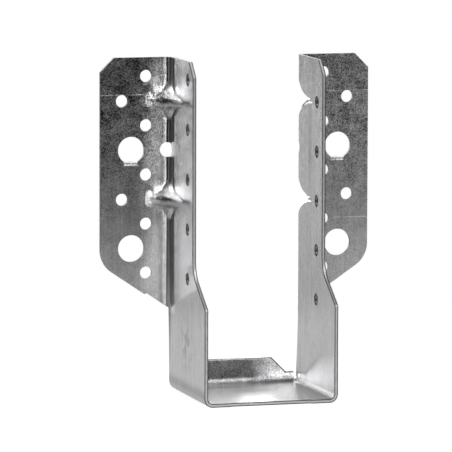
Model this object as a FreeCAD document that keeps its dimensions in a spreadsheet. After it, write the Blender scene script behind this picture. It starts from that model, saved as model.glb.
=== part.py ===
import FreeCAD, Part
import Sketcher
import os

# Joist hanger, face-fixed, folded from one piece of galvanised sheet.
# X runs across the joist, Y runs back towards the header, Z is up.
# While it is drawn, Y = 0 is the header's face and Z = 0 is the underside of the seat.

doc = FreeCAD.newDocument("joist_hanger")
dims = doc.addObject("Spreadsheet::Sheet", "dims")
cell_row = 0


def cell(alias, value, note):
    """Writes one named size, or one formula, into the sheet."""
    global cell_row
    cell_row += 1
    dims.set("A%d" % cell_row, str(value))
    dims.setAlias("A%d" % cell_row, alias)
    dims.set("B%d" % cell_row, note)


# Driving sizes, in millimetres
cell("sheet", 1.5, "thickness of the sheet")
cell("inner_width", 52.5, "clear width between the cheeks")
cell("height", 135.7, "underside of the seat to the top edge")
cell("seat_depth", 54, "header face to the front of the seat")
cell("upper_depth", 36, "header face to the front of the cheek's upper part")
cell("seat_bend", 2, "inner radius of the bends beside the seat")
cell("header_bend", 3, "inner radius of the bends between cheek and flange")
cell("tab_bend", 2.5, "inner radius of the bend below the back tab")
cell("flange_reach", 30.4, "cheek's inner face to the flange's free edge")
cell("edge_gap", 1.6, "header face to the foot of the cheek's back edge")
cell("margin_sin", 0.6157, "sine of the bend left in that edge below the flange")
cell("margin_cos", 0.788, "cosine of that bend")
cell("margin_low", 5, "height where that bend has faded out")
cell("top_chamfer", 5.8, "corner cut at the top of flange and cheek")
cell("cut_slope", 0.6745, "rise of the slanting cuts per millimetre")
cell("cut_cos", 0.829, "cosine of the slanting cuts")
cell("cut_sin", 0.5592, "sine of the slanting cuts")
cell("blend_radius", 11, "radius between an upright edge and a slanting cut")
cell("half_turn", 0.5317, "tangent of half the turn at that radius")
cell("cheek_step", 39, "height where the seat's front edge meets the slanting cut")
cell("step_round", 1.5, "radius of that corner")
cell("root_height", 33.7, "height where the flange's bottom edge meets the cheek")
cell("nick_out", 11.9, "cheek's inner face to the nick in the flange's bottom edge")
cell("nick_fall", 0.9, "width of that nick")
cell("nick_drop", 0.35, "fall of that nick")
cell("nail_d", 5, "nail holes")
cell("bolt_d", 11, "bolt holes")
cell("pitch", 20, "spacing of the nail rows")
cell("top_row", 7.6, "top edge to the first nail row of the flange")
cell("near_column", 19.1, "free edge to the inner nail column")
cell("far_column", 9, "free edge to the outer nail column")
cell("bolt_column", 12.9, "free edge to the bolt holes")
cell("cheek_column", 28.8, "header face to the cheek's nail column")
cell("cheek_lift", 0.4, "cheek rows above the flange rows")
cell("seam_hole_d", 6, "hole on the bend line")
cell("seam_hole_out", 2.5, "its centre outside the cheek's inner face")
cell("seam_hole_in", 2.2, "its centre in front of the header face")
cell("tab_top", 11.5, "underside to the top of the back tab")
cell("tab_half", 15.8, "half width of the tab at its top")
cell("lip_top", 5.3, "underside to the low lip beside the tab")
cell("lip_half", 25.3, "half width of tab and lip together")
cell("slit", 0.35, "slit between lip and cheek")
cell("tab_round", 0.9, "worn upper front edge of the tab")
cell("front_half", 16.7, "half width of the front edge's set-back part")
cell("front_set", 0.8, "how far that part is set back")
cell("rib_start", 27.9, "header face to the start of a rib's crest line")
cell("rib_long", 75, "plan radius of the crest along the cheek")
cell("rib_short", 8, "plan radius of the crest into the flange")
cell("rib_clear", 0.15, "how far the crest line starts outside the sheet")
cell("rib_nose", 1.6, "radius of the groove's bottom")
cell("rib_bend", 4, "radius where the groove's flank turns into its skirt")
cell("rib_skirt", 18.6, "radius over which the skirt levels out")
cell("rib_half", 11, "half height of a rib with its skirts")
cell("rib_cos", 0.7314, "cosine of the rib's flank")
cell("rib_sin", 0.682, "sine of the rib's flank")
cell("skirt_cos", 0.9135, "cosine of the skirt where it starts")
cell("skirt_sin", 0.4067, "sine of the skirt where it starts")
cell("rib_back", 4.6, "depth of the forming shapes behind the crest line")
cell("prong_half", 3, "half width of the locating prong's root")
cell("prong_tip", 1.2, "half width of its tip")
cell("prong_drop", 1.4, "start of its bend below the bolt hole")
cell("prong_bend", 0.3, "inner radius of its bend")
cell("prong_long", 4.5, "reach of the prong behind the header face")

# Sizes that follow from them
cell("half_in", "=inner_width / 2", "cheek's inner face")
cell("half_out", "=half_in + sheet", "cheek's outer face")
cell("seat_outer", "=seat_bend + sheet", "outer radius beside the seat")
cell("seat_flat_out", "=half_out - seat_outer", "end of the seat's flat")
cell("header_outer", "=header_bend + sheet", "outer radius at the header")
cell("flange_start", "=half_in + header_outer", "start of the flange's flat")
cell("free_edge", "=half_in + flange_reach", "flange's free edge")
cell("tab_outer", "=tab_bend + sheet", "outer radius below the tab")
cell("tab_shoulder", "=tab_half + tab_top - lip_top", "foot of the tab's 45 degree sides")
cell("top_corner", "=height - top_chamfer", "lower end of the corner cuts")
cell("upper_corner", "=upper_depth - top_chamfer", "back end of the cheek's corner cut")
cell("flange_corner", "=free_edge - top_chamfer", "inner end of the flange's corner cut")
cell("over_top", "=height + 1", "just above the part")
cell("margin_x", "=half_out + header_bend * (1 - margin_cos)", "end of that bend, outer face")
cell("margin_y", "=header_outer - header_bend * margin_sin", "the same, in front of the header face")
cell("margin_x2", "=half_in + header_outer * (1 - margin_cos)", "end of that bend, inner face")
cell("margin_y2", "=header_outer * (1 - margin_sin)", "the same, in front of the header face")
cell("half_past", "=half_in - 1", "just inside the cheek")
cell("blend_run", "=blend_radius * half_turn", "length that the blend takes from each edge")
cell("cheek_turn", "=cheek_step + (seat_depth - upper_depth) * cut_slope", "where cheek edges would meet")
cell("cheek_blend_top", "=cheek_turn + blend_run", "upper end of the cheek's blend")
cell("cheek_blend_low", "=cheek_turn - blend_run * cut_sin", "lower end of the cheek's blend")
cell("cheek_blend_out", "=upper_depth + blend_run * cut_cos", "front end of the cheek's blend")
cell("step_run", "=step_round * half_turn", "length that the corner's rounding takes")
cell("step_low", "=cheek_step - step_run", "lower end of that rounding")
cell("step_high", "=cheek_step + step_run * cut_sin", "upper end of that rounding")
cell("step_back", "=seat_depth - step_run * cut_cos", "back end of that rounding")
cell("nick_x", "=half_in + nick_out - nick_fall", "inner end of the nick")
cell("nick_z", "=root_height + (nick_x - margin_x) * cut_slope", "its height")
cell("nick_x2", "=nick_x + nick_fall", "outer end of the nick")
cell("nick_z2", "=nick_z - nick_drop", "its height there")
cell("flange_turn", "=nick_z2 + (free_edge - nick_x2) * cut_slope", "where flange edges would meet")
cell("flange_blend_top", "=flange_turn + blend_run", "upper end of the flange's blend")
cell("flange_blend_low", "=flange_turn - blend_run * cut_sin", "lower end of the flange's blend")
cell("flange_blend_in", "=free_edge - blend_run * cut_cos", "inner end of the flange's blend")
cell("rib_x", "=half_in - rib_clear", "start of the crest line")
cell("turn_sin", "=(rib_start + rib_clear - rib_short) / (rib_long - rib_short)", "sine of its first turn")
cell("turn_cos", "=sqrt(1 - turn_sin * turn_sin)", "cosine of its first turn")
cell("rib_mid_x", "=rib_x + rib_long * (1 - turn_cos)", "end of the first turn")
cell("rib_mid_in", "=rib_start - rib_long * turn_sin", "the same, in front of the header face")
cell("rib_end_x", "=rib_mid_x + rib_short * turn_cos", "end of the crest line")
cell("flank_z", "=rib_nose * rib_sin", "start of the groove's flank above its middle")
cell("flank_g", "=rib_nose * (1 - rib_cos)", "and behind the crest line")
cell("skirt_z", "=rib_half - rib_skirt * skirt_sin", "start of the groove's skirt")
cell("flank_z2", "=skirt_z - rib_bend * (rib_sin - skirt_sin)", "end of the groove's flank")
cell("flank_g2", "=flank_g + (flank_z2 - flank_z) * rib_sin / rib_cos", "and behind the crest line")
cell("skirt_g", "=flank_g2 + rib_bend * (skirt_cos - rib_cos)", "start of the skirt behind the crest line")
cell("foot_g", "=skirt_g + rib_skirt * (1 - skirt_cos)", "end of the skirt behind it")
cell("ridge_z", "=flank_z + sheet * rib_sin", "start of the ridge's flank")
cell("ridge_g", "=flank_g - sheet * rib_cos", "and behind the crest line")
cell("ridge_z2", "=flank_z2 + sheet * rib_sin", "end of the ridge's flank")
cell("ridge_g2", "=flank_g2 - sheet * rib_cos", "and behind the crest line")
cell("ridge_z3", "=skirt_z + sheet * skirt_sin", "start of the ridge's skirt")
cell("ridge_g3", "=skirt_g - sheet * skirt_cos", "and behind the crest line")
cell("ridge_g4", "=foot_g - sheet", "end of the ridge's skirt")
cell("ridge_round", "=rib_nose + sheet", "radius along the ridge's crest")
cell("ridge_bend", "=rib_bend - sheet", "radius where the ridge's flank turns into its skirt")
cell("ridge_skirt", "=rib_skirt - sheet", "radius of the ridge's skirt")
for own, new in (("flank_g", "valley_x1"), ("flank_g2", "valley_x2"), ("skirt_g", "valley_x3"),
                 ("foot_g", "valley_x4"), ("rib_back", "tool_x"), ("ridge_g", "ridge_x1"),
                 ("ridge_g2", "ridge_x2"), ("ridge_g3", "ridge_x3"), ("ridge_g4", "ridge_x4")):
    cell(new, "=rib_x - " + own, "the same, across the hanger")
cell("row_low", "=height - top_row - 4 * pitch", "lowest nail row of the flange")
cell("rib_low", "=row_low + 1.5 * pitch", "lower rib, level with an outer nail")
cell("rib_high", "=row_low + 3.5 * pitch", "upper rib")
cell("bolt_low", "=row_low + 0.5 * pitch", "lower bolt hole")
cell("bolt_high", "=row_low + 2.5 * pitch", "upper bolt hole")
cell("near_x", "=free_edge - near_column", "inner nail column")
cell("far_x", "=free_edge - far_column", "outer nail column")
cell("bolt_x", "=free_edge - bolt_column", "bolt holes")
cell("prong_foot", "=bolt_high - bolt_d / 2 - prong_drop", "start of the prong's bend")
cell("prong_outer", "=prong_bend + sheet", "outer radius of the prong's bend")
cell("prong_under", "=prong_foot + prong_bend", "prong's lower face")
cell("prong_upper", "=prong_foot + prong_outer", "prong's upper face")
cell("prong_left", "=bolt_x - prong_half", "prong's root, cheek side")
cell("prong_right", "=bolt_x + prong_half", "prong's root, free side")
cell("prong_tip_l", "=bolt_x - prong_tip", "prong's tip, cheek side")
cell("prong_tip_r", "=bolt_x + prong_tip", "prong's tip, free side")
doc.recompute()

FRONT = FreeCAD.Rotation(FreeCAD.Vector(1, 0, 0), 90)      # drawn in X and Z
SIDE = FreeCAD.Rotation(FreeCAD.Vector(1, 1, 1), 120)      # drawn in Y and Z
PLAN = FreeCAD.Rotation()                                  # drawn in X and Y


def size(term):
    """Value of a named size, with an optional minus before it."""
    if not isinstance(term, str):
        return float(term)
    value = float(dims.get(term.lstrip("-")))
    return -value if term.startswith("-") else value


def formula(term):
    return "-dims." + term[1:] if term.startswith("-") else "dims." + term


def outline(name, turn, points, closed=True):
    """Sketch through points; a point's third entry is the radius of the arc to the next one,
    positive where the arc turns left and negative where it turns right."""
    sketch = doc.addObject("Sketcher::SketchObject", name)
    sketch.Placement = FreeCAD.Placement(FreeCAD.Vector(0, 0, 0), turn)
    spots = [FreeCAD.Vector(size(p[0]), size(p[1]), 0) for p in points]
    count = len(points) if closed else len(points) - 1
    starts = []
    for i in range(count):
        a, b = spots[i], spots[(i + 1) % len(spots)]
        if len(points[i]) == 2:
            sketch.addGeometry(Part.LineSegment(a, b), False)
            starts.append((1, 2))
        else:
            radius = size(points[i][2])
            left = radius > 0
            radius = abs(radius)
            chord = b - a
            half = chord.Length / 2
            normal = FreeCAD.Vector(-chord.y, chord.x, 0)
            normal.normalize()
            rise = (radius * radius - half * half) ** 0.5
            centre = (a + b) * 0.5 + normal * (rise if left else -rise)
            one, two = (a, b) if left else (b, a)
            ring = Part.Circle(centre, FreeCAD.Vector(0, 0, 1), radius)
            sketch.addGeometry(Part.ArcOfCircle(ring, ring.parameter(one), ring.parameter(two)), False)
            starts.append((1, 2) if left else (2, 1))
    for i in range(count if closed else count - 1):
        j = (i + 1) % count
        sketch.addConstraint(Sketcher.Constraint("Coincident", i, starts[i][1], j, starts[j][0]))
    for i in range(count):
        point, end = points[i], starts[i][0]
        for kind, term in (("DistanceX", point[0]), ("DistanceY", point[1])):
            n = sketch.addConstraint(Sketcher.Constraint(kind, -1, 1, i, end, size(term)))
            if isinstance(term, str):
                sketch.setExpression("Constraints[%d]" % n, formula(term))
        if len(point) == 3:
            n = sketch.addConstraint(Sketcher.Constraint("Radius", i, abs(size(point[2]))))
            sketch.setExpression("Constraints[%d]" % n, formula(point[2].lstrip("-")))
    if not closed:
        for kind, term in (("DistanceX", points[-1][0]), ("DistanceY", points[-1][1])):
            n = sketch.addConstraint(Sketcher.Constraint(kind, -1, 1, count - 1, starts[-1][1], size(term)))
            if isinstance(term, str):
                sketch.setExpression("Constraints[%d]" % n, formula(term))
    return sketch


def prism(name, sketch, way, fwd, rev=0):
    """Straight solid from a sketch; fwd and rev are named sizes or numbers."""
    solid = doc.addObject("Part::Extrusion", name)
    solid.Base = sketch
    solid.DirMode = "Custom"
    solid.Dir = FreeCAD.Vector(*way)
    solid.Solid = True
    for prop, term in (("LengthFwd", fwd), ("LengthRev", rev)):
        setattr(solid, prop, size(term))
        if isinstance(term, str):
            solid.setExpression(prop, formula(term))
    return solid


def box(name, low, high):
    """Block between two corners, each entry a named size or a number."""
    block = doc.addObject("Part::Box", name)
    for axis, prop, a, b in zip("xyz", ("Length", "Width", "Height"), low, high):
        setattr(block, prop, size(b) - size(a))
        texts = [formula(v) if isinstance(v, str) else "%g" % v for v in (a, b)]
        block.setExpression(prop, "(%s) - (%s)" % (texts[1], texts[0]))
        block.setExpression("Placement.Base." + axis, texts[0])
    return block


def drill(name, across, along, up, diameter, way, long):
    """Cylinder through the sheet; its start is given by three formulas."""
    rod = doc.addObject("Part::Cylinder", name)
    rod.Placement.Rotation = FreeCAD.Rotation(FreeCAD.Vector(0, 0, 1), FreeCAD.Vector(*way))
    rod.setExpression("Radius", "dims.%s / 2" % diameter)
    rod.setExpression("Height", long)
    for axis, term in zip("xyz", (across, along, up)):
        rod.setExpression("Placement.Base." + axis, term)
    return rod


def both(name, kind, base, tool):
    """Boolean of two solids: Part::Cut or Part::Common."""
    op = doc.addObject(kind, name)
    op.Base, op.Tool = base, tool
    return op


def fuse(name, pieces):
    op = doc.addObject("Part::MultiFuse", name)
    op.Shapes = pieces
    return op


def mirrored(name, source):
    """The same solid on the other side of the hanger."""
    twin = doc.addObject("Part::Mirroring", name)
    twin.Source = source
    twin.Normal = FreeCAD.Vector(1, 0, 0)
    return twin


# Seat and cheeks: a U section, trimmed to the cheek's side outline
u_section = outline("u_section", FRONT, [
    ("-half_out", "seat_outer", "seat_outer"), ("-seat_flat_out", 0),
    ("seat_flat_out", 0, "seat_outer"), ("half_out", "seat_outer"),
    ("half_out", "height"), ("half_in", "height"),
    ("half_in", "seat_outer", "-seat_bend"), ("seat_flat_out", "sheet"),
    ("-seat_flat_out", "sheet", "-seat_bend"), ("-half_in", "seat_outer"),
    ("-half_in", "height"), ("-half_out", "height")])
u_solid = prism("u_solid", u_section, (0, -1, 0), "seat_depth", "-edge_gap")
side_line = outline("side_line", SIDE, [
    (1, -1), (1, "height"), ("-upper_corner", "height"), ("-upper_depth", "top_corner"),
    ("-upper_depth", "cheek_blend_top", "-blend_radius"), ("-cheek_blend_out", "cheek_blend_low"),
    ("-step_back", "step_high", "step_round"), ("-seat_depth", "step_low"), ("-seat_depth", -1)])
side_solid = prism("side_solid", side_line, (1, 0, 0), "free_edge", "free_edge")
channel = both("channel", "Part::Common", u_solid, side_solid)

# The middle of the seat's front edge is set back a little
front_cut = box("front_cut", ("-front_half", "-seat_depth", -1), ("front_half", "-front_set", 3))
front_cut.setExpression("Placement.Base.y", "-dims.seat_depth - 1")
front_cut.setExpression("Width", "dims.front_set + 1")

# Room for the header bends and for the tab's bend
tab_room = box("tab_room", ("-lip_half", "-tab_outer", -1), ("lip_half", 1, "lip_top"))
tab_room.setExpression("Placement.Base.x", "-dims.lip_half - dims.slit")
tab_room.setExpression("Length", "2 * (dims.lip_half + dims.slit)")
margin_room = box("margin_room", ("-free_edge", "-header_outer", "margin_low"), ("free_edge", 1, "over_top"))
channel_cut = both("channel_cut", "Part::Cut", channel,
                   fuse("channel_rooms", [front_cut, margin_room, tab_room]))

# Below the flange the cheek's back edge keeps part of the bend, fading to flat near the seat
margin_top = outline("margin_top", PLAN, [
    ("half_in", "-header_outer"), ("half_out", "-header_outer", "-header_bend"),
    ("margin_x", "-margin_y"), ("margin_x2", "-margin_y2", "header_outer")])
margin_foot = outline("margin_foot", PLAN, [
    ("half_in", "-header_outer"), ("half_out", "-header_outer"),
    ("half_out", "-edge_gap"), ("half_in", "-edge_gap")])
margin_top.setExpression("Placement.Base.z", "dims.root_height")
margin_foot.setExpression("Placement.Base.z", "dims.margin_low")
margin = doc.addObject("Part::Loft", "margin")
margin.Sections = [margin_foot, margin_top]
margin.Solid = True
margin.Ruled = True

# One header flange with its bend: plan section, trimmed to the front outline
wing_plan = outline("wing_plan", PLAN, [
    ("half_in", "-header_outer"), ("half_out", "-header_outer", "-header_bend"),
    ("flange_start", "-sheet"), ("free_edge", "-sheet"), ("free_edge", 0),
    ("flange_start", 0, "header_outer")])
wing_up = prism("wing_up", wing_plan, (0, 0, 1), "height")
wing_line = outline("wing_line", FRONT, [
    ("half_past", "root_height"), ("margin_x", "root_height"), ("nick_x", "nick_z"),
    ("nick_x2", "nick_z2"), ("flange_blend_in", "flange_blend_low", "blend_radius"),
    ("free_edge", "flange_blend_top"), ("free_edge", "top_corner"),
    ("flange_corner", "height"), ("half_past", "height")])
wing_trim = prism("wing_trim", wing_line, (0, -1, 0), "seat_depth", 1)
wing = both("wing", "Part::Common", wing_up, wing_trim)

# Back tab: curled up from the seat, with 45 degree sides and a low lip out to the cheeks
tab_side = outline("tab_side", SIDE, [
    ("-tab_outer", 0, "tab_outer"), (0, "tab_outer"), (0, "tab_top"),
    ("-sheet", "tab_top"), ("-sheet", "tab_outer", "-tab_bend"), ("-tab_outer", "sheet")])
tab_long = prism("tab_long", tab_side, (1, 0, 0), "lip_half", "lip_half")
tab_line = outline("tab_line", FRONT, [
    ("-lip_half", -1), ("lip_half", -1), ("lip_half", "lip_top"), ("tab_shoulder", "lip_top"),
    ("tab_half", "tab_top"), ("-tab_half", "tab_top"), ("-tab_shoulder", "lip_top"),
    ("-lip_half", "lip_top")])
tab_trim = prism("tab_trim", tab_line, (0, -1, 0), "seat_depth", 1)
tab_sharp = both("tab_sharp", "Part::Common", tab_long, tab_trim)
doc.recompute()

# The tab's upper front edges are rolled over by the shears
tab = doc.addObject("Part::Fillet", "tab")
tab.Base = tab_sharp
rolled = []
for n, edge in enumerate(tab_sharp.Shape.Edges, 1):
    eb = edge.BoundBox
    on_front = max(abs(eb.YMin + size("sheet")), abs(eb.YMax + size("sheet"))) < 0.001
    if on_front and eb.ZMin > size("tab_outer") + 0.1:
        rolled.append((n, size("tab_round"), size("tab_round")))
tab.Edges = rolled

folded = fuse("folded", [channel_cut, margin, mirrored("margin_left", margin),
                         wing, mirrored("wing_left", wing), tab])

# Pressed ribs across the header bends: the ridge stands on the hollow side of the bend and
# the groove of the same form, one sheet deeper, is on the other side
crest = outline("crest", PLAN, [
    ("rib_x", "-rib_start", "-rib_long"), ("rib_mid_x", "-rib_mid_in", "-rib_short"),
    ("rib_end_x", "rib_clear")], closed=False)

rib_ridge = outline("rib_ridge", FRONT, [
    ("ridge_x1", "-ridge_z", "ridge_round"), ("ridge_x1", "ridge_z"), ("ridge_x2", "ridge_z2", "-ridge_bend"),
    ("ridge_x3", "ridge_z3", "-ridge_skirt"), ("ridge_x4", "rib_half"), ("tool_x", "rib_half"),
    ("tool_x", "-rib_half"), ("ridge_x4", "-rib_half", "-ridge_skirt"),
    ("ridge_x3", "-ridge_z3", "-ridge_bend"), ("ridge_x2", "-ridge_z2")])
rib_groove = outline("rib_groove", FRONT, [
    ("valley_x1", "-flank_z", "rib_nose"), ("valley_x1", "flank_z"), ("valley_x2", "flank_z2", "-rib_bend"),
    ("valley_x3", "skirt_z", "-rib_skirt"), ("valley_x4", "rib_half"), ("tool_x", "rib_half"),
    ("tool_x", "-rib_half"), ("valley_x4", "-rib_half", "-rib_skirt"),
    ("valley_x3", "-skirt_z", "-rib_bend"), ("valley_x2", "-flank_z2")])
for sketch in (rib_ridge, rib_groove):
    sketch.setExpression("Placement.Base.y", "-dims.rib_start")
doc.recompute()


def swept(name, section):
    """A rounded V carried along the crest line."""
    pipe = doc.addObject("Part::Sweep", name)
    pipe.Sections = [section]
    pipe.Spine = (crest, ["Edge1", "Edge2"])
    pipe.Solid = True
    pipe.Frenet = False
    return pipe


def at_level(name, source, level):
    """The form is the same above and below its middle, so a mirror lifts it to its level."""
    copy = doc.addObject("Part::Mirroring", name)
    copy.Source = source
    copy.Normal = FreeCAD.Vector(0, 0, 1)
    copy.setExpression("Base.z", "dims.%s / 2" % level)
    return copy


ridge_form = swept("ridge_form", rib_ridge)
groove_form = swept("groove_form", rib_groove)
corner_plan = outline("corner_plan", PLAN, [
    ("half_in", "-rib_start"), ("free_edge", "-rib_start"), ("free_edge", 0),
    ("flange_start", 0, "header_outer"), ("half_in", "-header_outer")])
corner_space = prism("corner_space", corner_plan, (0, 0, 1), "height")
ridges = both("ridges", "Part::Common", fuse("ridge_pair", [
    at_level("ridge_low", ridge_form, "rib_low"), at_level("ridge_high", ridge_form, "rib_high")]), corner_space)
ribbed = fuse("ribbed", [folded, ridges, mirrored("ridges_left", ridges)])

# Holes of one flange; each starts in front of the sheet and ends behind it
through = "dims.sheet + 2"
ahead = "-dims.sheet - 1"
holes = []
for row in range(5):
    holes.append(drill("near_nail_%d" % row, "dims.near_x", ahead,
                       "dims.row_low + %d * dims.pitch" % row, "nail_d", (0, 1, 0), through))
for level in ("rib_low", "rib_high"):
    holes.append(drill("far_nail_" + level[4:], "dims.far_x", ahead, "dims." + level,
                       "nail_d", (0, 1, 0), through))
for level in ("bolt_low", "bolt_high"):
    holes.append(drill(level + "_hole", "dims.bolt_x", ahead, "dims." + level, "bolt_d", (0, 1, 0), through))

# The hole on the bend line was punched flat, so it opens both ways round the bend
holes.append(drill("seam_hole_back", "dims.half_in + dims.seam_hole_out", "-dims.sheet - 2",
                   "dims.bolt_high", "seam_hole_d", (0, 1, 0), "dims.sheet + 3"))
holes.append(drill("seam_hole_side", "dims.half_in - 1", "-dims.seam_hole_in", "dims.bolt_high",
                   "seam_hole_d", (1, 0, 0), "dims.seam_hole_out + 1"))
grooves = [at_level("groove_low", groove_form, "rib_low"), at_level("groove_high", groove_form, "rib_high")]
prong_room = box("prong_room", ("prong_left", "-sheet", "prong_foot"), ("prong_right", 1, "bolt_high"))
wing_cuts = fuse("wing_cuts", holes + grooves + [prong_room])

# Nail holes of the cheeks; the right cheek's rows are half a pitch lower
cheek_holes = []
for row in range(5):
    for side, start, drop in (("left", "-dims.half_out - 1", 0), ("right", "dims.half_in - 1", 0.5)):
        cheek_holes.append(drill("%s_cheek_nail_%d" % (side, row), start, "-dims.cheek_column",
                                 "dims.row_low + dims.cheek_lift + (%d - %g) * dims.pitch" % (row, drop),
                                 "nail_d", (1, 0, 0), through))
cuts = fuse("cuts", [wing_cuts, mirrored("wing_cuts_left", wing_cuts)] + cheek_holes)
punched = both("punched", "Part::Cut", ribbed, cuts)

# Locating prong: a tongue of the upper bolt hole's blank, bent back towards the header
prong_side = outline("prong_side", SIDE, [
    ("-sheet", "prong_foot", "-prong_outer"), ("prong_bend", "prong_upper"),
    ("prong_long", "prong_upper"), ("prong_long", "prong_under"),
    ("prong_bend", "prong_under", "prong_bend"), (0, "prong_foot")])
prong_bar = prism("prong_bar", prong_side, (1, 0, 0), "prong_right", "-prong_left")
prong_plan = outline("prong_plan", PLAN, [
    ("prong_left", "-sheet"), ("prong_right", "-sheet"), ("prong_right", "prong_bend"),
    ("prong_tip_r", "prong_long"), ("prong_tip_l", "prong_long"), ("prong_left", "prong_bend")])
prong_trim = prism("prong_trim", prong_plan, (0, 0, 1), "height")
prong = both("prong", "Part::Common", prong_bar, prong_trim)

# The whole hanger; its own origin is the middle of the seat's underside
hanger = fuse("hanger", [punched, prong, mirrored("prong_left_side", prong)])
hanger.Label = "hanger"
hanger.setExpression("Placement.Base.y", "dims.seat_depth / 2")
doc.recompute()

wrong = [o.Name for o in doc.Objects if "Invalid" in o.State or "Error" in o.State]
if wrong:
    raise SystemExit("not computed: " + ", ".join(wrong))
shape = hanger.Shape
solid = shape.Solids[0] if len(shape.Solids) == 1 else None
if solid is None or not shape.isValid():
    raise SystemExit("the hanger is not one valid solid: %d" % len(shape.Solids))
for name, before, after in (("channel", u_solid, channel), ("rooms", channel, channel_cut),
                            ("holes and grooves", ribbed, punched)):
    if before.Shape.Volume - after.Shape.Volume < 1:
        raise SystemExit("nothing was removed by: " + name)
if ribbed.Shape.Volume - folded.Shape.Volume < 1:
    raise SystemExit("the ribs add nothing")
os.makedirs("parts", exist_ok=True)
shape.exportStep("parts/hanger.step")
b = shape.BoundBox
print("hanger: volume %.0f mm3, X %.2f..%.2f, Y %.2f..%.2f, Z %.2f..%.2f, %d faces" % (
    shape.Volume, b.XMin, b.XMax, b.YMin, b.YMax, b.ZMin, b.ZMax, len(shape.Faces)))
print("ribs add %.0f mm3, holes and grooves remove %.0f mm3" % (
    ribbed.Shape.Volume - folded.Shape.Volume, ribbed.Shape.Volume - punched.Shape.Volume))
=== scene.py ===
# %% [markdown]
# # A joist hanger, folded from one galvanised sheet
# The real thing is a single blank of zinc-coated steel, punched flat and then folded: a seat, two
# cheeks, two flanges and a low tab at the back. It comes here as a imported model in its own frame,
# in metres, with the seat's underside at height nought. Everything below only dresses that model,
# so nothing is moved.

# %% Load the frame
import math
from functools import reduce

import bmesh
import bpy
from mathutils import Matrix, Vector


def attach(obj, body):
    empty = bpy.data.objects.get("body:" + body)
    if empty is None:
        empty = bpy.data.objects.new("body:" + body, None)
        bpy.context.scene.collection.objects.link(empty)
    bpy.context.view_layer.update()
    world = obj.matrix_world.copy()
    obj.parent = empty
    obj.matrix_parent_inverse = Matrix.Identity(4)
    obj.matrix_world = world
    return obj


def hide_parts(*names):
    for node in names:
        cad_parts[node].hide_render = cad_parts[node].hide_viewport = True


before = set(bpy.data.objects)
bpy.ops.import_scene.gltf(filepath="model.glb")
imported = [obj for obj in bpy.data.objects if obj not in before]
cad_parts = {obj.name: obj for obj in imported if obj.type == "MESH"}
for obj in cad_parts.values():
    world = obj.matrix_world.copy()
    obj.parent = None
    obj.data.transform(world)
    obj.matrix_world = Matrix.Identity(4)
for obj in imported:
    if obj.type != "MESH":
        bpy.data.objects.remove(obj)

scene = bpy.context.scene
MM = 0.001
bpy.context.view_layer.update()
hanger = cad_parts["hanger"]

# %% [markdown]
# ## The camera
# The picture was taken from a distance with a long lens, a little to the left and a little above,
# so verticals stay upright and the flanges hardly shrink with depth. A camera is easiest to set
# from the direction it looks from: three unit vectors (right, up and backwards) are the columns of
# its turn, and the distance along the third puts it in place.

# %% Place the camera
SIDE, RISE, TILT = math.radians(-16.246), math.radians(6.646), math.radians(0.152)
AIM = Vector((-0.00333, 0.027, 0.06596))   # what the middle of the picture shows
DISTANCE = 1.9192
SENSOR, LENS = 36, 375.06                  # both in mm

back = Vector((math.sin(SIDE) * math.cos(RISE), -math.cos(SIDE) * math.cos(RISE), math.sin(RISE)))
level = Vector((math.cos(SIDE), math.sin(SIDE), 0))
right = level * math.cos(TILT) + back.cross(level) * math.sin(TILT)
up = back.cross(right)

camera = bpy.data.objects.new("camera", bpy.data.cameras.new("camera"))
scene.collection.objects.link(camera)
camera.matrix_world = (
    Matrix.Translation(AIM + back * DISTANCE) @ Matrix((right, up, back)).transposed().to_4x4()
)
camera.data.sensor_width, camera.data.lens = SENSOR, LENS
scene.camera = camera
scene.view_settings.view_transform = "Standard"
print("camera at", [round(v, 4) for v in camera.location])

# %% [markdown]
# ## Nodes without the mess
# Every finish below is a node tree. The first helper makes one node, sets its plain values and
# links the rest, so that each line of a finish reads like a sentence.

# %% Helpers for one node
def node(tree, kind, out=0, settings=None, **inputs):
    """One node of a tree. Inputs are given by name, with _ for a space, or by number as i0, i1."""
    made = tree.nodes.new("ShaderNode" + kind)
    for name, value in (settings or {}).items():
        setattr(made, name, value)
    for name, value in inputs.items():
        numbered = name[0] == "i" and name[1:].isdigit()
        socket = made.inputs[int(name[1:]) if numbered else name.replace("_", " ")]
        if isinstance(value, bpy.types.NodeSocket):
            tree.links.new(value, socket)
        else:
            socket.default_value = value
    return made.outputs[out]


def maths(tree, operation, *values):
    """A Math node on one to three numbers or sockets."""
    inputs = {f"i{n}": v for n, v in enumerate(values)}
    return node(tree, "Math", settings={"operation": operation}, **inputs)


# %% [markdown]
# Three more shapes come back again and again. A ramp is a soft step from one value to another, a
# bell is a soft bump round one place, and products of both are windows that keep a mark where it
# belongs.

# %% Helpers for ramps, bells, sums and products
def ramp(tree, value, low, high, start=0.0, end=1.0, smooth=True):
    """Turns a value between low and high into one between start and end, and holds it outside."""
    kind = "SMOOTHSTEP" if smooth else "LINEAR"
    return node(tree, "MapRange", settings={"interpolation_type": kind},
                Value=value, From_Min=low, From_Max=high, To_Min=start, To_Max=end)


def bell(tree, value, middle, width):
    """1 where the value is at the middle, falling to nearly nought two widths away."""
    off = maths(tree, "DIVIDE", maths(tree, "SUBTRACT", value, middle), width)
    return maths(tree, "EXPONENT", product(tree, off, off, -1.0))


def total(tree, *values):
    """All values added up."""
    return reduce(lambda first, second: maths(tree, "ADD", first, second), values)


def product(tree, *values):
    """All values multiplied."""
    return reduce(lambda first, second: maths(tree, "MULTIPLY", first, second), values)


def largest(tree, *values):
    """The largest of the values."""
    return reduce(lambda first, second: maths(tree, "MAXIMUM", first, second), values)


# %% [markdown]
# A pattern on metal has a real size, so every finish works in millimetres on the object's own
# coordinates. The pattern then stays where it is from whichever side the hanger is seen.

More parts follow.
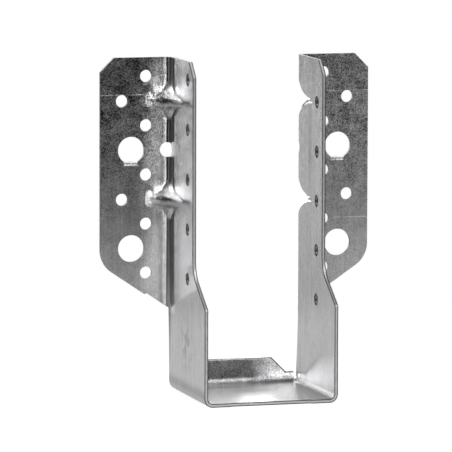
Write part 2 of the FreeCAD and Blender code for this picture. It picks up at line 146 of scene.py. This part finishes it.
# %% Helpers for a whole finish
def finish(name):
    """A new material with an empty tree apart from its shader: (material, tree, shader)."""
    made = bpy.data.materials.new(name)
    made.use_nodes = True
    return made, made.node_tree, made.node_tree.nodes["Principled BSDF"]


def in_millimetres(tree):
    """The object's own coordinates, in millimetres."""
    place = node(tree, "TexCoord", out=3)
    return node(tree, "VectorMath", settings={"operation": "SCALE"}, Vector=place, Scale=1 / MM)


def painted_grey(tree, shader, grey, blue=1.0):
    """Links a grey value to the shader as its colour, and makes the shader a metal."""
    tint = grey if blue == 1.0 else maths(tree, "MULTIPLY", grey, blue)
    colour = node(tree, "CombineColor", Red=grey, Green=grey, Blue=tint)
    tree.links.new(colour, shader.inputs["Base Color"])
    shader.inputs["Metallic"].default_value = 1.0


# %% [markdown]
# ## One sheet, two kinds of surface
# A punched blank has a rolled and zinc-dipped skin on both faces, and a bare sheared edge all
# round and in every hole. In the mesh both are the same piece, so they are told apart by walking:
# starting from any face and crossing only soft edges never leaves the kind of surface it is on.
# A copy of the model is welded first, because its triangles are loose, and the exact normals of
# its bends and ribs are carried over to the copy.

# %% Weld a copy
WELD = 0.001 * MM

source = hanger.data
bm = bmesh.new()
bm.from_mesh(source)
kept_normal = bm.loops.layers.float_vector.new("kept_normal")
for face in bm.faces:
    start = source.polygons[face.index].loop_start
    for n, loop in enumerate(face.loops):
        loop[kept_normal] = source.corner_normals[start + n].vector
loose = len(bm.verts)
bmesh.ops.remove_doubles(bm, verts=bm.verts, dist=WELD)
print("corners:", loose, "loose,", len(bm.verts), "welded")

# %% [markdown]
# The walk itself is a flood: each face hands its place on to its neighbours across every edge that
# bends less than a set angle, until none is left. It could be done by hand with the editor's select
# linked flat faces, and this does the same for all surfaces at once. The two largest are the skins.

# %% Walk over the copy
SOFT = math.radians(40)   # an edge that bends less than this is crossed


def area_of(faces):
    """The area of some faces together."""
    return sum(face.calc_area() for face in faces)


def walks(bm):
    """The faces in groups that only soft edges join, the largest area first."""
    groups, seen = [], set()
    for first in bm.faces:
        if first in seen:
            continue
        group, ahead = [], [first]
        seen.add(first)
        while ahead:
            face = ahead.pop()
            group.append(face)
            for edge in face.edges:
                if edge.calc_face_angle(0) < SOFT:
                    fresh = [f for f in edge.link_faces if f not in seen]
                    seen.update(fresh)
                    ahead += fresh
        groups.append(group)
    return sorted(groups, key=area_of, reverse=True)


def lowest(faces):
    """The height of the lowest corner of some faces."""
    return min(corner.co.z for face in faces for corner in face.verts)


surfaces = walks(bm)
outer, inner = sorted(surfaces[:2], key=lowest)
print("surfaces:", len(surfaces), "of which skins in mm2:",
      [round(area_of(skin) / MM**2) for skin in (outer, inner)])

# %% [markdown]
# The outer skin is the one that the seat stands on. A sheared edge isn't the same all the way
# through: the punch burnishes the first part and tears the rest. For that the finish has to know
# how deep it is in the sheet, so each corner on the inner skin is marked 1 and all others 0, and
# Blender blends the mark across the cut faces. A walk along the outline stops at a corner, but a
# wall that closes round a hole has normals that cancel out, and that tells the two apart.

# %% Mark skins, cut faces and depth
SKIN, SHEARED, PUNCHED = 0, 1, 2
CANCELS = 0.05   # the share of a closed wall's area that its normals may leave over

through = bm.verts.layers.float.new("through")
holes = 0
for n, group in enumerate(surfaces):
    pull = sum((face.normal * face.calc_area() for face in group), Vector())
    closed = n > 1 and pull.length < CANCELS * area_of(group)
    holes += closed
    for face in group:
        face.smooth = True
        face.material_index = SKIN if n < 2 else PUNCHED if closed else SHEARED
for face in inner:
    for corner in face.verts:
        corner[through] = 1.0
print("hole walls:", holes)

# %% [markdown]
# The marked copy becomes a piece of its own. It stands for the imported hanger, which stays below
# it unseen, and rides on the same body.

# %% Make the piece
mesh = bpy.data.meshes.new("folded_sheet")
bm.to_mesh(mesh)
bm.free()
mesh.normals_split_custom_set([tuple(v.vector) for v in mesh.attributes["kept_normal"].data])
mesh.attributes.remove(mesh.attributes["kept_normal"])
sheet = bpy.data.objects.new("folded_sheet", mesh)
scene.collection.objects.link(sheet)
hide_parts("hanger")
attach(sheet, "root")
print("folded sheet:", len(mesh.polygons), "faces, of them cut:",
      sum(p.material_index != SKIN for p in mesh.polygons))

# %% [markdown]
# ## The galvanised skin
# The skin isn't the same all over. The press that folded the sheet ironed it smooth on the cheeks
# and beside the bends, while the outer part of the flanges and the back tab stayed dull, and the
# seat is halfway between. So the finish starts with windows that say where a point is. Places are
# in millimetres, X across the hanger, Y towards the wall that it is fixed to and Z up. A pair of
# numbers is the two ends of a soft step.

# %% Find the places on the sheet
IRONED = (29.0, 35.0)      # across, from the ironed skin to the dull one
FLANGE = (29.0, 31.0)      # across, from the bend to the flange
TAB_FRONT, TAB_END = (23, 25), (24, 25)
SEAT_TOP, SEAT_DULL = (2.4, 3.2), 0.5
RIGHT_INNER = (26, 26.2), (27, 26.8)         # the right cheek's face that the picture shows
LEFT_OUTER = (-27.2, -27.6), (-29, -28.6)    # and the left cheek's

zinc, tree, shader = finish("galvanised_zinc")
in_mm = in_millimetres(tree)
x, y, z = (node(tree, "SeparateXYZ", out=n, Vector=in_mm) for n in range(3))
across = maths(tree, "ABSOLUTE", x)
on_flange = ramp(tree, across, *FLANGE)
on_tab = product(tree, ramp(tree, y, *TAB_FRONT), ramp(tree, across, *TAB_END, 1.0, 0.0))
on_seat = ramp(tree, z, *SEAT_TOP, SEAT_DULL, 0.0)
dull = largest(tree, ramp(tree, across, *IRONED), on_tab, on_seat)

on_right = product(tree, *[ramp(tree, x, *edge) for edge in RIGHT_INNER])
on_left = product(tree, *[ramp(tree, x, *edge) for edge in LEFT_OUTER])
print("dull from", IRONED[1], "mm outwards")

# %% [markdown]
# Hot-dip zinc freezes into fine crystals. Each lies at a slightly different angle, so on a flat
# flange they show as a mottle of darker and lighter grains, and on the cheeks, seen nearly edge
# on, the same grains run together into upright streaks. One texture of cells and three noises of
# different sizes make the mottle, and the streaks are a fourth noise, stretched upwards.

# %% Crystals and streaks
CRYSTALS, GRAINS, BLOTCHES, CLOUDS = 0.9, 1.8, 0.22, 0.07   # how many to a millimetre
STREAKS = (0.9, 0.9, 0.04)                                  # the same, along X, Y and Z
NOISE = (0.3, 0.7)                                          # where nearly all of a noise lies

crystal = node(tree, "TexVoronoi", out=1, Vector=in_mm, Scale=CRYSTALS, Randomness=1.0)
tone = node(tree, "SeparateColor", Color=crystal)
grain = node(tree, "TexNoise", Vector=in_mm, Scale=GRAINS, Detail=2.0, Roughness=0.6)
blotch = node(tree, "TexNoise", Vector=in_mm, Scale=BLOTCHES, Detail=2.0, Roughness=0.5)
cloud = node(tree, "TexNoise", Vector=in_mm, Scale=CLOUDS, Detail=3.0, Roughness=0.55)
stretched = node(tree, "Mapping", Vector=in_mm, Scale=STREAKS)
streak = node(tree, "TexNoise", Vector=stretched, Scale=1.0, Detail=3.0, Roughness=0.6)
print("nodes so far:", len(tree.nodes))

# %% [markdown]
# Use and handling left marks, each at the place where the picture has it: one long scratch across
# both flanges and a short one below it, a stain up the right cheek, two small dents and smudges on
# the left cheek. The left cheek is also darker in a band at its foot, and has a bright strip beside
# the bend that is a painted reflection of the bright room behind it. A mark is a product of soft
# windows along two axes, and most are torn up by noise.

# %% Scratches, stains and dents
def spot(tree, sideways, middle, size):
    """A soft round mark. Middle and size each give a sideways value and a height."""
    return product(tree, bell(tree, sideways, middle[0], size[0]), bell(tree, z, middle[1], size[1]))


SCRATCH_HEIGHT, SCRATCH_WIDTH, SCRATCH_START = 120.6, 0.16, (36, 41)
SHORT_HEIGHT, SHORT_WIDTH, SHORT_START = 68.4, 0.14, (41, 44)
BAND_HEIGHT, BAND_WIDTH = 4.5, 2.2
# BESIDE_BEND and ABOVE_FOOT place the painted reflection beside the left cheek's bend
BESIDE_BEND, ABOVE_FOOT = (15, 21), (30, 34)
DENT_ON_FLANGE, DENT_ON_CHEEK = (-32.9, 91.7), (11, 93.2)

torn = ramp(tree, blotch, 0.32, 0.55, 0.15, 1.0)
scratch = product(tree, bell(tree, z, SCRATCH_HEIGHT, SCRATCH_WIDTH),
                  ramp(tree, across, *SCRATCH_START), ramp(tree, blotch, 0.35, 0.6, 0.35, 1.0))
short_scratch = product(tree, bell(tree, z, SHORT_HEIGHT, SHORT_WIDTH),
                        ramp(tree, x, *SHORT_START), torn)
stain = product(tree, spot(tree, y, middle=(7.5, 98), size=(2.2, 16)), on_right, torn)
smudge = product(tree, spot(tree, y, middle=(0, 22), size=(9, 9)), on_left,
                 ramp(tree, blotch, 0.42, 0.58))
# the left cheek is made darker in a band at its foot
band = product(tree, bell(tree, z, BAND_HEIGHT, BAND_WIDTH), on_left)
# painted reflection: a bright strip beside the left cheek's bend
painted_reflection_by_bend = product(tree, ramp(tree, y, *BESIDE_BEND), ramp(tree, z, *ABOVE_FOOT), on_left)
dents = total(tree, spot(tree, x, DENT_ON_FLANGE, size=(0.8, 0.5)),
              product(tree, spot(tree, y, DENT_ON_CHEEK, size=(1.2, 0.5)), on_left))
print("nodes with the marks:", len(tree.nodes))

# %% [markdown]
# The colour is one grey that the mottle, the streaks and the marks make lighter or darker, with
# painted light and shade on top. The mottle is strongest near the top and weak where the press
# ironed the skin. The dull skin is painted lighter low down, a painted reflection of the pale floor
# in front. The left flange is painted darker near its top, painted shade where the left cheek hides
# it from the light. Both are as the picture shows them. Metal takes nearly all its look from the
# room, so the grey itself stays near the middle.

# %% The colour
ZINC_GREY = 0.5
GRAIN, TONE, BLOTCH, STREAK = 0.3, 0.08, 0.1, 0.06   # how far each moves the grey, up and down
# the middle one is the strength of the painted reflection beside the left cheek's bend
BRIGHT_SCRATCH, PAINTED_BEND_REFLECTION, DARK_MARK = 0.8, 0.3, -0.22
TAB_MOTTLE, TAB_STREAK = 0.8, 0.2
COLD = 1.01                                          # zinc is a trace bluer than grey
# each of these goes between two places from one amount to another
MOTTLE_UP, MOTTLE_OUT = (60, 120, 0.55, 1.7), (28, 36, 0.4, 1.0)
# painted reflection: the dull skin lighter low down, where it mirrors the pale floor in front
PAINTED_FLOOR_REFLECTION = (40, 85, 0.2, 0.0)
# painted shade: the left flange darker near its top, where the left cheek hides it from the light
SHADE_ABOVE, SHADE_LEFT = (75, 125, 0.0, -0.14), (-38, -32, 1.0, 0.0)

mottle = total(tree, ramp(tree, grain, *NOISE, -GRAIN, GRAIN, smooth=False),
               ramp(tree, tone, 0.0, 1.0, -TONE, TONE, smooth=False),
               ramp(tree, blotch, *NOISE, -BLOTCH, BLOTCH, smooth=False))
strength = total(tree, product(tree, ramp(tree, z, *MOTTLE_UP), ramp(tree, across, *MOTTLE_OUT)),
                 product(tree, on_tab, TAB_MOTTLE))
streaks = product(tree, ramp(tree, streak, *NOISE, -STREAK, STREAK, smooth=False),
                  ramp(tree, on_tab, 0, 1, 1, TAB_STREAK))
grey = total(tree, ZINC_GREY, product(tree, mottle, strength), streaks,
             product(tree, total(tree, scratch, short_scratch), BRIGHT_SCRATCH),
             # painted reflection beside the left cheek's bend
             product(tree, painted_reflection_by_bend, PAINTED_BEND_REFLECTION),
             product(tree, total(tree, stain, smudge, band), DARK_MARK),
             # painted reflection low on the dull skin, then painted shade at the top of the left
             # flange
             product(tree, ramp(tree, z, *PAINTED_FLOOR_REFLECTION), ramp(tree, across, *IRONED)),
             product(tree, ramp(tree, z, *SHADE_ABOVE), ramp(tree, x, *SHADE_LEFT)))
painted_grey(tree, shader, grey, COLD)
print("zinc grey:", ZINC_GREY)

# %% [markdown]
# The zinc spreads light further in one direction than in the other, as fine lines on metal do: up
# and down on the flanges and cheeks, and from back to front on the seat. Where the press ironed
# the skin it is smoother, so there the room shows more sharply. The direction leans a trace
# sideways, because it must never point straight out of a level face.

# %% The polish
SMOOTH, DULL, CLOUDY = 0.18, 0.28, 0.03
LEAN, ONE_WAY = 0.03, 0.85
SEAT_TURN = (1.6, 3.2)   # the heights between which the direction turns upright

rough = total(tree, ramp(tree, dull, 0, 1, SMOOTH, DULL), ramp(tree, cloud, 0.35, 0.65, 0.0, CLOUDY))
tree.links.new(rough, shader.inputs["Roughness"])
spread = node(tree, "CombineXYZ", X=LEAN, Y=ramp(tree, z, *SEAT_TURN, 1.0, 0.0),
              Z=ramp(tree, z, *SEAT_TURN, 0.0, 1.0))
tree.links.new(spread, shader.inputs["Tangent"])
shader.inputs["Anisotropic"].default_value = ONE_WAY
print("roughness from", SMOOTH, "to", DULL)

# %% [markdown]
# Pressing the ribs also pushed the sheet out a little all round them, by about a millimetre at
# most, and the right cheek's foot leans in by as much. That is too shallow to see in the outline,
# but a bright skin shows it as wide flares, so it is relief in the finish. The swelling is on the
# outer skin alone. The rest is on both, and what stands out on one skin goes in on the other.

# %% Swellings, dents and the leaning foot
RIB_LEVELS = (78.1, 118.1)
RIB_SWELL, CHEEK_SHARE, RIPPLE_SHARE = 0.95, 1.2, 0.3
RIB_FADE = (34.0, 38.5)    # across, where the swelling dies out on the flange
DENT_DEEP, SCRATCH_DEEP = 0.15, 0.05
FOOT_TOP, FOOT_LOW, FOOT_LEAN = 14.0, 3, 1.2
FOOT_SIDE = (-24, 22)      # across, from the straight left foot to the leaning right one
OUTER_HALF = (0.4, 0.6)    # through the sheet, where the outer skin's swelling ends

depth = node(tree, "Attribute", out=2, settings={"attribute_name": "through"})
outwards = ramp(tree, depth, 0, 1, 1.0, -1.0, smooth=False)


def along_ribs(above, width):
    """A bell on each rib, so far above its crest and so wide."""
    return total(tree, *[bell(tree, z, rib + above, width) for rib in RIB_LEVELS])


beside_ribs = maths(tree, "MULTIPLY_ADD", along_ribs(-2.0, 1.4), RIPPLE_SHARE, along_ribs(0.8, 3.2))
swelling = total(tree,
                 product(tree, beside_ribs, ramp(tree, across, *RIB_FADE, 1.0, 0.0), on_flange),
                 product(tree, along_ribs(0.4, 4.2), ramp(tree, on_flange, 0, 1, CHEEK_SHARE, 0.0)))
fall = ramp(tree, z, FOOT_TOP, FOOT_LOW, 0.0, 1.0, smooth=False)
relief = total(tree, product(tree, swelling, ramp(tree, depth, *OUTER_HALF, RIB_SWELL, 0.0)),
               product(tree, dents, DENT_DEEP), product(tree, scratch, SCRATCH_DEEP),
               product(tree, fall, fall, ramp(tree, x, *FOOT_SIDE), -FOOT_LEAN))
pressed = node(tree, "Bump", Strength=1.0, Distance=MM, Height=product(tree, relief, outwards))
print("ribs at", RIB_LEVELS, "mm")

# %% [markdown]
# On top of that comes the grain of the zinc itself, a few thousandths of a millimetre high. It is
# what breaks the mirrored room into a mottle. The ironed skin keeps only a trace of it.

# %% The grain's relief
GRAIN_DEEP = 0.006 * MM
CRYSTAL_SHARE, STREAK_SHARE, IRONED_SHARE = 0.35, 0.5, 0.15

height = product(tree, total(tree, grain, product(tree, tone, CRYSTAL_SHARE),
                             product(tree, streak, STREAK_SHARE)),
                 ramp(tree, dull, 0, 1, IRONED_SHARE, 1.0))
bump = node(tree, "Bump", Strength=1.0, Distance=GRAIN_DEEP, Height=height, Normal=pressed)
tree.links.new(bump, shader.inputs["Normal"])
mesh.materials.append(zinc)
print("nodes in the zinc:", len(tree.nodes))

# %% [markdown]
# ## The sheared edge
# Bare steel, burnished bright in the middle of its thickness, with a dark line at either rim where
# the zinc skin ends and the tear is roughest. The wall of a hole is shut in, so its grey is painted
# darker: painted shade.

# %% The sheared finishes
RIM = (0.16, 0.34)   # from the middle of the thickness, where the burnish ends and the rim is full
CUT_MOTTLE, RIM_ROUGHER, TEAR_DEEP = 0.06, 0.15, 0.02 * MM


def cut_finish(name, middle, rims, polish):
    """Bare steel: grey in the middle of the thickness and at the rims, and how rough."""
    made, tree, shader = finish(name)
    depth = node(tree, "Attribute", out=2, settings={"attribute_name": "through"})
    rim = ramp(tree, maths(tree, "ABSOLUTE", maths(tree, "SUBTRACT", depth, 0.5)), *RIM)
    grain = node(tree, "TexNoise", Vector=in_millimetres(tree), Scale=1.5, Detail=3.0)
    painted_grey(tree, shader, total(tree, ramp(tree, rim, 0, 1, middle, rims),
                                     ramp(tree, grain, *NOISE, -CUT_MOTTLE, CUT_MOTTLE)))
    tree.links.new(ramp(tree, rim, 0, 1, polish, polish + RIM_ROUGHER), shader.inputs["Roughness"])
    bump = node(tree, "Bump", Strength=0.6, Distance=TEAR_DEEP, Height=grain)
    tree.links.new(bump, shader.inputs["Normal"])
    return made


mesh.materials.append(cut_finish("sheared_edge", 0.7, 0.07, 0.42))
# painted shade: the wall of a hole gets a darker grey because it is shut in
mesh.materials.append(cut_finish("punched_wall", 0.25, 0.08, 0.3))
print("finishes:", [made.name for made in mesh.materials])

# %% [markdown]
# ## A plain pale floor
# The picture has no horizon, only white. A wide floor that glows stays white under any light and
# still takes a soft shadow where the seat stands on it. It glows less to what mirrors it than to
# the camera, so it doesn't wash out the foot of the cheeks.

# %% The floor
FLOOR_WIDE, FLOOR_DEEP, FLOOR_MIDDLE = 0.4, 0.44, 0.02
PALE, MATT = 0.25, 0.9
GLOW_SEEN, GLOW_MIRRORED = 0.85, 0.5

floor_mesh = bpy.data.meshes.new("floor")
bm = bmesh.new()
bmesh.ops.create_grid(bm, x_segments=1, y_segments=1, size=0.5)
bmesh.ops.scale(bm, verts=bm.verts, vec=(FLOOR_WIDE, FLOOR_DEEP, 1))
bmesh.ops.translate(bm, verts=bm.verts, vec=(0, FLOOR_MIDDLE, 0))
bm.to_mesh(floor_mesh)
bm.free()
floor = bpy.data.objects.new("floor", floor_mesh)
scene.collection.objects.link(floor)

pale, tree, shader = finish("pale_floor")
shader.inputs["Base Color"].default_value = (PALE, PALE, PALE, 1)
shader.inputs["Roughness"].default_value = MATT
shader.inputs["Emission Color"].default_value = (1, 1, 1, 1)
seen = node(tree, "LightPath", out=0)
glow = ramp(tree, seen, 0, 1, GLOW_MIRRORED, GLOW_SEEN, smooth=False)
tree.links.new(glow, shader.inputs["Emission Strength"])
floor_mesh.materials.append(pale)
print("floor in m:", FLOOR_WIDE, "by", FLOOR_DEEP)

# %% [markdown]
# Past the floor the world is the backdrop. It is white to the camera and black to the metal, which
# then mirrors only the soft boxes and the floor: a white room all round would leave it flat.

# %% The world
world = scene.world = bpy.data.worlds.new("room")
world.use_nodes = True
tree = world.node_tree
backdrop = tree.nodes["Background"]
backdrop.inputs["Color"].default_value = (1, 1, 1, 1)
seen = node(tree, "LightPath", out=0)
tree.links.new(ramp(tree, seen, 0, 1, smooth=False), backdrop.inputs["Strength"])
print("world: white to the camera, dark to the metal")

# %% [markdown]
# ## Soft boxes
# Bright metal shows little of its own colour: what the eye reads as steel is the room. So the
# lights are placed by what each face mirrors. A box's brightness is its power over its area and
# pi, and setting it that way round keeps its look when its size changes.

# %% A helper for soft boxes
def soft_box(name, place, facing, size, bright):
    """A rectangular light at a place, turned to face along a direction, hidden from the camera."""
    lamp = bpy.data.lights.new(name, "AREA")
    lamp.shape = "RECTANGLE"
    lamp.size, lamp.size_y = size
    lamp.energy = bright * math.pi * lamp.size * lamp.size_y
    box = bpy.data.objects.new(name, lamp)
    box.location = place
    box.rotation_euler = (-facing).to_track_quat("Z", "Y").to_euler()
    box.visible_camera = False
    scene.collection.objects.link(box)
    return lamp


# %% [markdown]
# The boxes stand on a sphere round the hanger. The low ones behind and in front are what the
# cheeks mirror, and the windows and panels make the bright flares on the ribs and bends. The
# window on the right and the top box at the back light sides that the picture doesn't show.

# %% Place the soft boxes
BOXES = {
    # name: (bearing from the front towards +X, elevation, width, height, brightness), in degrees
    "table_back_left": (-170, -18, 20, 12, 0.3),
    "sweep_back_left": (-170, -11, 22, 8, 0.5),
    "horizon_back_left": (-170, -5, 22, 4, 0.8),
    "window_back_left": (-168, 6, 26, 11, 2.5),
    "panel_back_left": (-165, 20, 30, 14, 1.0),
    "sweep_front": (-10, -11, 20, 6, 2.4),
    "sweep_front_left": (-35, -6, 24, 8, 1.9),
    "sweep_front_right": (30, -9, 20, 9, 1.6),
    "window_front_left": (-22, 17, 36, 14, 7.0),
    "panel_front_left": (-28, 38, 56, 24, 3.5),
    "panel_left": (-75, 36, 30, 24, 0.5),
    "panel_side": (-125, 36, 50, 36, 2.2),
    "window_left": (-90, 10, 20, 22, 0.5),
    "window_back_right": (160, 14, 36, 18, 1.3),
    "window_right": (85, 8, 40, 30, 0.45),
    "panel_back_right": (165, 38, 30, 24, 2.5),
    "panel_front_right": (16, 52, 40, 22, 2.5),
    "top_left": (-90, 62, 60, 24, 1.5),
    "top_front": (-20, 62, 60, 24, 0.8),
    "top_right": (60, 74, 60, 20, 1.3),
    "top_back": (180, 76, 90, 18, 0.5),
}
REACH = 2.0                          # the radius of the sphere
CENTRE = Vector((0, 0.01, 0.065))

for name, (bearing, rise, wide, high, bright) in BOXES.items():
    turn, lift = math.radians(bearing), math.radians(rise)
    away = Vector((math.sin(turn) * math.cos(lift), -math.cos(turn) * math.cos(lift), math.sin(lift)))
    size = (2 * REACH * math.tan(math.radians(wide / 2)) * math.cos(lift),
            2 * REACH * math.tan(math.radians(high / 2)))
    soft_box(name, CENTRE + away * REACH, -away, size, bright)
print("soft boxes:", len(BOXES))

# %% [markdown]
# The upright glare on the seat has clear left and right ends, so what it mirrors stands close by:
# a narrow white card a hand's breadth behind the hanger. Its light is a narrow beam towards the
# seat, so that the back of the flange beside it isn't burnt out.

# %% Stand the card behind the seat
CARD_AT = Vector((0.045, 0.15, 0.06))
CARD_AIM = Vector((-0.014, 0, CARD_AT.z))
CARD_SIZE, CARD_BRIGHT = (0.014, 0.1), 0.7
CARD_BEAM = math.radians(50)

card = soft_box("card", CARD_AT, CARD_AIM - CARD_AT, CARD_SIZE, CARD_BRIGHT)
card.spread = CARD_BEAM
print("card behind the seat in mm:", [round(v / MM) for v in CARD_AT])
